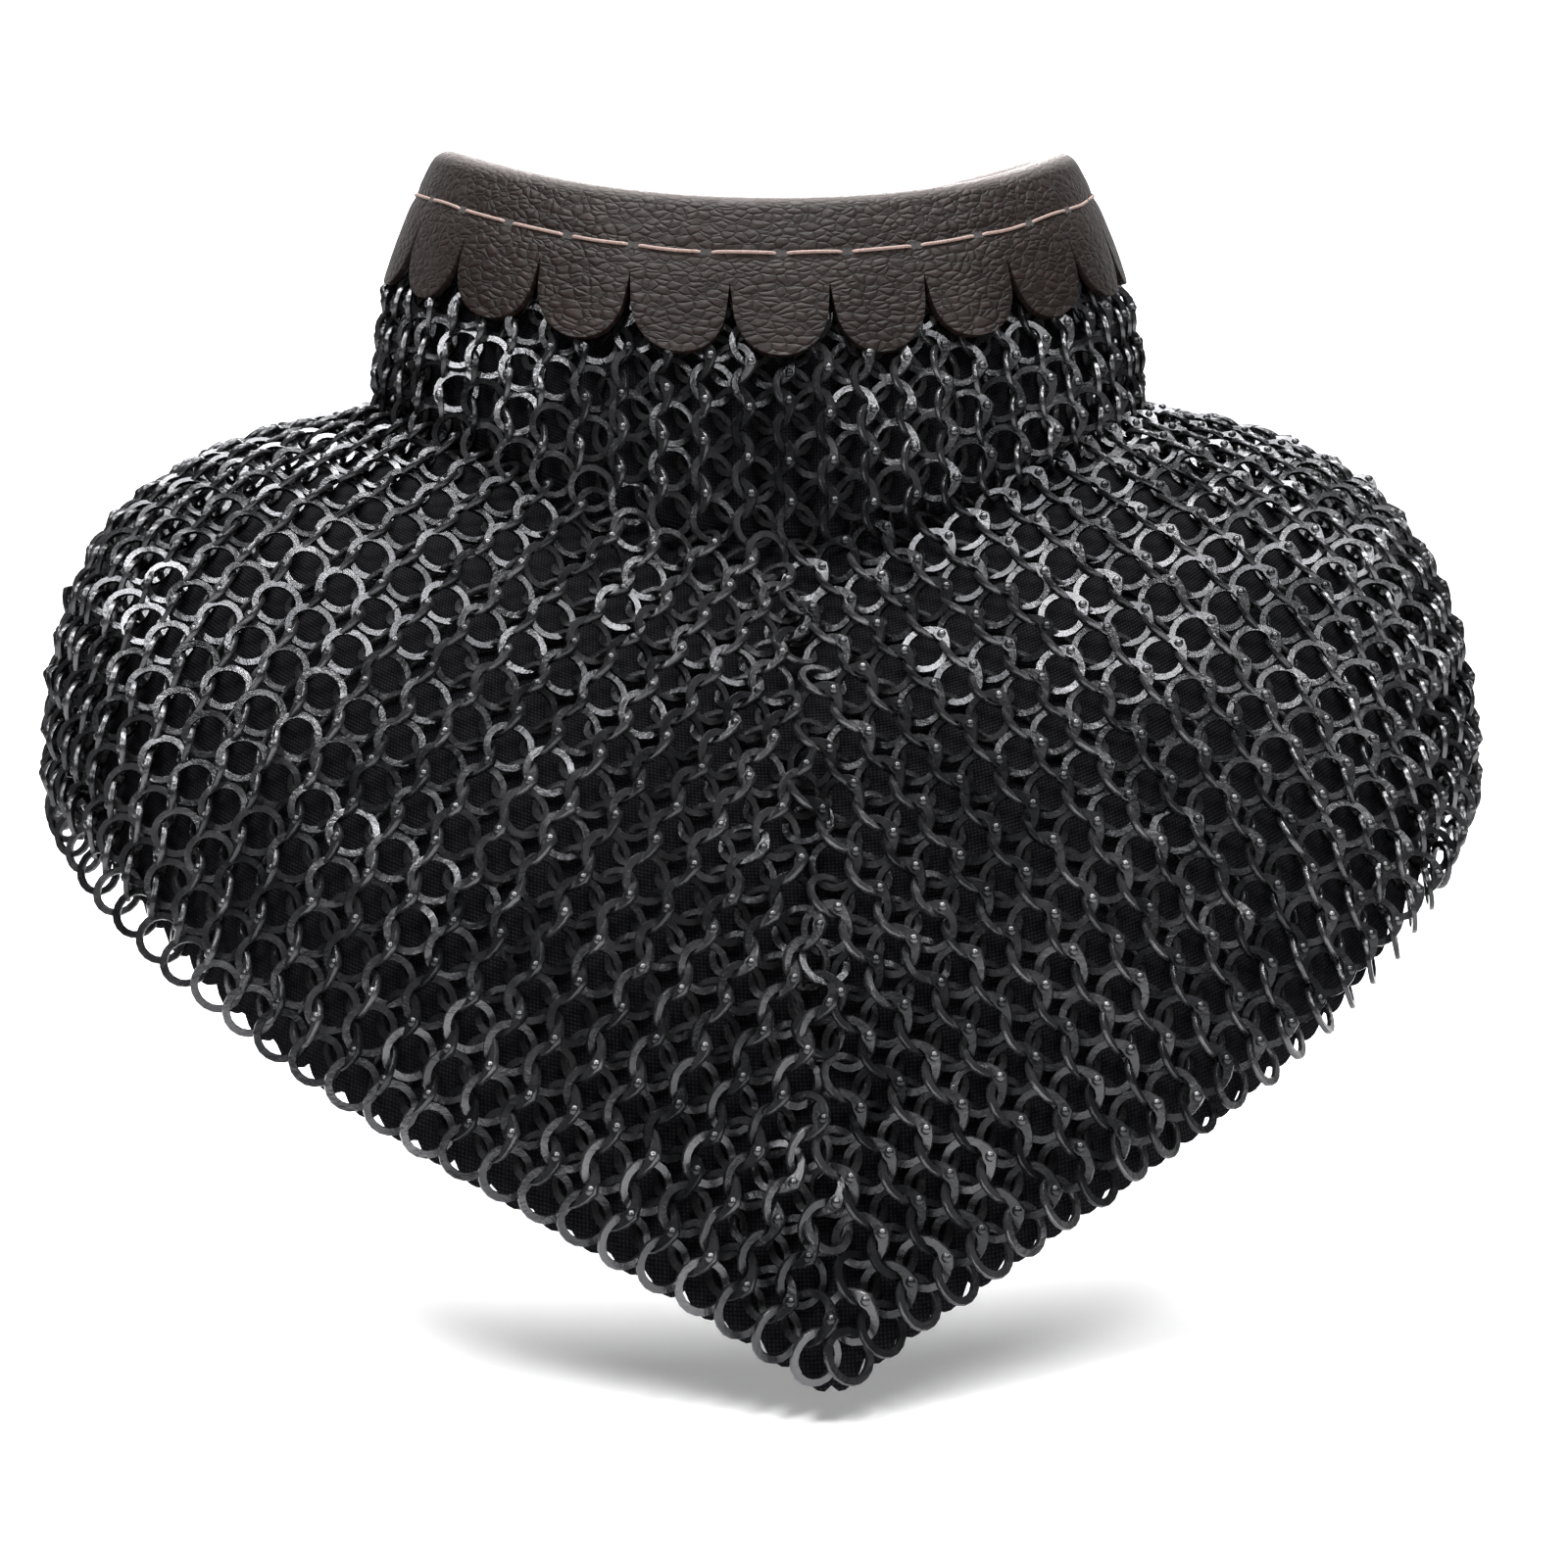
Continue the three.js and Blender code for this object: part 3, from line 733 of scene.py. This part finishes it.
def collar_leather():
    """The band with its fold, as one wall, and its tongues below, which share its edge's points."""
    columns = TONGUES * TONGUE_COLUMNS
    span = math.pi - SLIT_ANGLE
    thetas = np.linspace(-span, span, columns + 1)
    centre = (OUTER_FLAP + INNER_FLAP) / 2
    radius = (OUTER_FLAP - INNER_FLAP) / 2
    band = around(BINDING_DEPTH, thetas) - TONGUE_SLIT

    stations = [
        (depth * np.ones_like(thetas), INNER_FLAP, 0, (0, -1))
        for depth in np.linspace(INNER_FLAP_DEPTH, 0, 5)
    ]
    for angle in np.radians(np.linspace(180, 0, 11)[1:-1]):
        side = (math.sin(angle), math.cos(angle))
        stations.append((np.zeros_like(thetas), centre + radius * side[1], radius * side[0], side))
    stations += [(band * part, OUTER_FLAP, 0, (0, 1)) for part in np.linspace(0, 1, 13)]

    points, flats, fold_highlights = [], [], []
    for sign in (1, -1):
        for depth, out, lift, side in stations:
            wall_out = out + sign * LEATHER_HALF * side[1]
            wall_lift = lift + sign * LEATHER_HALF * side[0]
            points.append(leather_point(thetas, depth, wall_out, wall_lift))
            down = depth - lift * 1.6 + 40 * (out < 0)
            flats.append(np.stack([thetas * LEATHER_UV_RADIUS, down], -1))
            # The fold's upper side gets the highest value here, and the leather shader paints it with a
            # pale highlight.
            fold_highlights.append(np.full(columns + 1, max(0.0, side[0]) ** 1.5))
    count = len(stations)
    index = np.arange(count * (columns + 1)).reshape(count, columns + 1)
    offset = index.size
    faces = [grid_faces(*index.shape), grid_faces(*index.shape, flip=True) + offset]
    border = np.concatenate([index[-1:0:-1, 0], index[0, :-1], index[:-1, -1], index[-1:, -1]])
    faces.append(np.stack([border[:-1], border[1:], border[1:] + offset, border[:-1] + offset], -1))
    points = [np.concatenate(points)]
    flats, fold_highlights = [np.concatenate(flats)], [np.concatenate(fold_highlights)]
    total = 2 * offset
    for i in range(TONGUES):
        start = i * TONGUE_COLUMNS
        end = start + TONGUE_COLUMNS
        shared = index[-1, start:end + 1]
        tongue_points, flat, tongue_faces = tongue(thetas[start], thetas[end], shared, offset, total)
        points.append(tongue_points)
        flats.append(flat)
        fold_highlights.append(np.zeros(len(tongue_points)))
        faces.append(tongue_faces)
        total += len(tongue_points)
    piece = make_mesh("collar_leather", np.concatenate(points), [np.concatenate(faces)])
    add_uv(piece, np.concatenate(flats))
    add_float(piece, "highlight_and_wear", np.concatenate(fold_highlights))
    piece.data.materials.append(LEATHER)
    soften_edges(piece, LEATHER_BEVEL)
    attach(piece, "root")
    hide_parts("collar_binding")


def tongue(low, high, shared, offset, first):
    """One round-ended tongue. Its rows hang from the band's points, and its sides are closed."""
    middle, half = (low + high) / 2, (high - low) / 2
    band_end = around(BINDING_DEPTH, middle) - TONGUE_SLIT
    radius = float(profile(middle, band_end - neck_height(middle))[0])
    full = half - TONGUE_SLIT_WIDTH / 2 / radius
    rows = TONGUE_ROWS
    curl = random.uniform(-0.3, 0.9) * float(1 - under_strap(middle))
    lines, flat = [], []
    for part in np.linspace(0, 1, rows + 1)[1:]:
        angle = part * math.pi / 2
        power = 2 / TONGUE_ROUNDNESS
        drop = TONGUE_STRAIGHT + (TONGUE_SLIT - TONGUE_STRAIGHT) * math.sin(angle) ** power
        wide = full * max(math.cos(angle), 0.04) ** power
        theta = np.linspace(middle - wide, middle + wide, TONGUE_COLUMNS + 1)
        depth = around(BINDING_DEPTH, theta) - TONGUE_SLIT + drop
        lines.append((theta, depth, curl * part**2))
        flat.append(np.stack([theta * LEATHER_UV_RADIUS, depth], -1))
    points = [
        leather_point(theta, depth, OUTER_FLAP + sign * LEATHER_HALF + lift_out)
        for sign in (1, -1) for theta, depth, lift_out in lines
    ]
    width = TONGUE_COLUMNS + 1
    outer = first + np.arange(rows * width).reshape(rows, width)
    inner = outer + rows * width
    outer = np.vstack([shared, outer])
    inner = np.vstack([shared + offset, inner])
    faces = [quads_of(outer), quads_of(inner)[:, ::-1]]
    faces.append(ribbon(outer[:, 0], inner[:, 0])[:, ::-1])
    faces.append(ribbon(outer[:, -1], inner[:, -1]))
    faces.append(ribbon(outer[-1], inner[-1])[:, ::-1])
    return np.concatenate(points), np.concatenate(flat + flat), np.concatenate(faces)


def tube(path, radius, sides=8):
    """Points and faces of a round tube along a path. Its ends stay open inside the leather."""
    ahead = unit(np.gradient(path, axis=0))
    up = unit(np.cross(ahead, np.cross(ahead, path - path.mean(0) + (0, 0, 1))))
    across = np.cross(ahead, up)
    angle = np.linspace(0, TAU, sides, endpoint=False)
    points = path[:, None] + radius * (
        np.cos(angle)[None, :, None] * up[:, None] + np.sin(angle)[None, :, None] * across[:, None]
    )
    index = np.arange(len(path) * sides).reshape(len(path), sides)
    wrap = np.hstack([index, index[:, :1]])
    quads = np.stack([wrap[:-1, :-1], wrap[:-1, 1:], wrap[1:, 1:], wrap[1:, :-1]], -1).reshape(-1, 4)
    return points.reshape(-1, 3), quads


def stitching():
    """Long running stitches round the rim, with a short gap and a needle hole between two, drawn as a
    dark disc of painted shade.
    """
    points, quads, total = [], [], 0
    discs, disc_faces, disc_total = [], [], 0
    span = math.pi - SLIT_ANGLE - 0.06
    marks = np.linspace(-span, span, STITCHES + 1)
    marks[1:-1] += random.uniform(-0.012, 0.012, STITCHES - 1)
    surface = OUTER_FLAP + LEATHER_HALF
    for low, high in zip(marks[:-1], marks[1:]):
        theta = np.linspace(low + 0.010, high - 0.010, STITCH_POINTS)
        part = np.linspace(0, 1, STITCH_POINTS)
        hump = np.clip(np.minimum(part, 1 - part) / 0.09, 0, 1)
        out = surface - 0.95 + 1.2 * np.sin(hump * math.pi / 2)
        sway = 0.35 * np.sin(part * math.pi) * random.uniform(-1, 1)
        path = leather_point(theta, around(STITCH_DEPTH, theta) + sway, out)
        tube_points, tube_quads = tube(path, THREAD_RADIUS)
        points.append(tube_points)
        quads.append(tube_quads + total)
        total += len(tube_points)
    # Each needle hole is a flat dark disc on the leather: painted shade in place of a real hole.
    for theta in marks:
        for shift in (-HOLE_SHIFT, HOLE_SHIFT):
            spin = np.linspace(0, TAU, HOLE_SIDES, endpoint=False)
            around_hole = theta + shift + HOLE_RADIUS / NECK["rim_radius"][1] * np.cos(spin)
            depth = around(STITCH_DEPTH, around_hole) + HOLE_RADIUS * np.sin(spin)
            discs.append(leather_point(around_hole, depth, np.full(HOLE_SIDES, surface + 0.08)))
            disc_faces.append(np.arange(HOLE_SIDES)[None, ::-1] + disc_total)
            disc_total += HOLE_SIDES
    thread = make_mesh("rim_stitching", np.concatenate(points), [np.concatenate(quads)])
    thread.data.materials.append(THREAD)
    hole_shades = make_mesh("needle_hole_shades", np.concatenate(discs), [np.concatenate(disc_faces)], smooth=False)
    hole_shades.data.materials.append(HOLE_SHADE)
    for piece in (thread, hole_shades):
        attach(piece, "root")


def studio():
    """A pale floor and backdrop, soft lamps, and the camera at the photograph's angle."""
    world = bpy.data.worlds.new("studio")
    world.use_nodes = True
    background = world.node_tree.nodes["Background"]
    background.inputs["Color"].default_value = (0.95, 0.96, 0.98, 1)
    background.inputs["Strength"].default_value = WORLD_STRENGTH
    bpy.context.scene.world = world
    bpy.context.scene.view_settings.view_transform = "Standard"
    cove()
    for name, spot, size, power in LAMPS:
        lamp(name, spot, size, power)
    camera_data = bpy.data.cameras.new("camera")
    ahead = np.array([math.sin(CAMERA_TURN), math.cos(CAMERA_TURN), 0])
    right = np.array([math.cos(CAMERA_TURN), -math.sin(CAMERA_TURN), 0])
    camera_data.sensor_width = SENSOR_WIDTH
    camera_data.lens = SENSOR_WIDTH * FOCAL_PIXELS / IMAGE_WIDTH
    camera = bpy.data.objects.new("camera", camera_data)
    standpoint = -CAMERA_DISTANCE * ahead + CAMERA_RIGHT * right + (0, 0, CAMERA_HEIGHT)
    camera.location = standpoint * MM
    level = Euler((math.pi / 2, 0, -CAMERA_TURN)).to_matrix()
    camera.rotation_euler = (level @ Matrix.Rotation(-CAMERA_ROLL, 3, "Z")).to_euler()
    bpy.context.collection.objects.link(camera)
    bpy.context.scene.camera = camera


def cove():
    """A pale floor that curves up behind into a wall, without a horizon."""
    floor_height = cad_box[0][2] / MM - FLOOR_GAP
    line = [(-FLOOR_REACH, 0), (COVE_START, 0)]
    line += [
        (COVE_START + COVE_BEND * math.sin(angle), COVE_BEND - COVE_BEND * math.cos(angle))
        for angle in np.radians(np.linspace(0, 90, 25)[1:])
    ]
    line.append((COVE_START + COVE_BEND, WALL_TOP))
    points = [(x, y, floor_height + z) for x in (-FLOOR_REACH, FLOOR_REACH) for y, z in line]
    index = np.arange(len(points)).reshape(2, len(line))
    piece = make_mesh("floor", np.array(points), [quads_of(index)[:, ::-1]])
    n = Nodes("pale_floor")
    n.put(n.shader.inputs["Base Color"], (0.88, 0.88, 0.88, 1))
    n.put(n.shader.inputs["Roughness"], 0.85)
    n.put(n.shader.inputs["Emission Color"], (1, 1, 1, 1))
    n.put(n.shader.inputs["Emission Strength"], 0.2)
    piece.data.materials.append(n.material)


def lamp(name, spot, size, power):
    """A soft lamp that points at the mantle's upper part."""
    data = bpy.data.lights.new(name, "AREA")
    data.shape = "ELLIPSE"
    data.size, data.size_y = size
    data.energy = power
    piece = bpy.data.objects.new(name, data)
    piece.location = spot
    direction = np.array(LAMP_TARGET) - np.array(spot)
    yaw = math.atan2(direction[0], -direction[1])
    pitch = math.atan2(math.hypot(direction[0], direction[1]), -direction[2])
    piece.rotation_euler = (pitch, 0, yaw + math.pi)
    bpy.context.collection.objects.link(piece)


def back_point(along, up, out):
    """A point on the back of the neck, along and up from the middle of the strap."""
    theta = math.pi + np.asarray(along) / NECK["rim_radius"][4]
    return place(theta, STRAP_BELOW - up - neck_height(theta), out)


def strap():
    """The leather strap over the back slit, with round corners."""
    columns, rows = 91, 15
    along = np.linspace(-STRAP_HALF_LENGTH, STRAP_HALF_LENGTH, columns)
    past = np.clip(np.abs(along) - (STRAP_HALF_LENGTH - STRAP_CORNER), 0, STRAP_CORNER * 0.97)
    half_width = STRAP_HALF_WIDTH - STRAP_CORNER + np.sqrt(STRAP_CORNER**2 - past**2)
    up = np.linspace(-1, 1, rows)[:, None] * half_width
    along = np.broadcast_to(along, up.shape)
    edge = np.abs(np.linspace(-1, 1, rows))[:, None]
    crown = STRAP_CROWN * (1 - edge**4) + 0 * along
    top = STRAP_UNDER + STRAP_THICKNESS - STRAP_CROWN + crown
    outer = back_point(along, up, top).reshape(-1, 3)
    inner = back_point(along, up, STRAP_UNDER + 0 * along).reshape(-1, 3)
    index = np.arange(up.size).reshape(up.shape)
    faces = [
        grid_faces(*up.shape, flip=True),
        grid_faces(*up.shape) + up.size,
        edge_faces(index, up.size)[:, ::-1],
    ]
    piece = make_mesh("strap_leather", np.concatenate([outer, inner]), [np.concatenate(faces)])
    flat = np.stack([along + 400, up + 100], -1).reshape(-1, 2)
    add_uv(piece, np.concatenate([flat, flat]))
    # The strap's long edges get the same pale mix as the fold's painted highlight.
    highlight_and_wear = np.broadcast_to(0.8 * edge**6, up.shape).ravel()
    add_float(piece, "highlight_and_wear", np.concatenate([highlight_and_wear, highlight_and_wear]))
    piece.data.materials.append(LEATHER)
    soften_edges(piece, STRAP_BEVEL)
    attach(piece, "root")
    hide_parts("back_strap")


def soften_edges(piece, width):
    """Rounds the leather's cut edges."""
    bevel = piece.modifiers.new("edges", "BEVEL")
    bevel.width = width * MM
    bevel.segments = 2
    bevel.limit_method = "ANGLE"
    bevel.angle_limit = math.radians(50)


def studs():
    """Domed steel studs on short posts."""
    under = STRAP_THICKNESS + 0.3
    rim = under + STUD_LIP
    outline = [(STUD_POST, 0.0), (STUD_POST, under), (STUD_HEAD - STUD_LIP, under), (STUD_HEAD, rim)]
    outline += [
        (STUD_HEAD * math.cos(angle), rim + (STUD_RISE - STUD_LIP) * math.sin(angle))
        for angle in np.radians(np.linspace(0, 84, 9)[1:])
    ]
    spin = np.linspace(0, TAU, STUD_SIDES, endpoint=False)
    for i, along in enumerate(STUD_SPOTS):
        foot = back_point(along, 0, STRAP_UNDER)
        normal = unit(back_point(along, 0, STRAP_UNDER + 1) - foot)
        side = unit(back_point(along + 1, 0, STRAP_UNDER) - foot)
        upward = np.cross(normal, side)
        points = [
            foot + height * normal + radius * (math.cos(a) * side + math.sin(a) * upward)
            for radius, height in outline for a in spin
        ]
        points.append(foot + (under + STUD_RISE) * normal)
        index = np.arange(len(outline) * STUD_SIDES).reshape(len(outline), STUD_SIDES)
        wrap = np.hstack([index, index[:, :1]])
        crown = [(index[-1, k], wrap[-1, k + 1], len(points) - 1) for k in range(STUD_SIDES)]
        faces = [quads_of(wrap)[:, ::-1], np.array(crown)]
        piece = make_mesh(f"domed_stud_{i + 1}", np.array(points), faces)
        add_float(piece, "tone", np.full(len(points), 0.5))
        piece.data.materials.append(STUD_STEEL)
        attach(piece, "root")
        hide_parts(f"strap_stud_{i + 1}")


neck_rings()
panel_rings("front_left_mail", 1, False)
panel_rings("front_right_mail", -1, False)
panel_rings("back_left_mail", 1, True)
panel_rings("back_right_mail", -1, True)
linings()
collar_leather()
stitching()
strap()
studs()
studio()
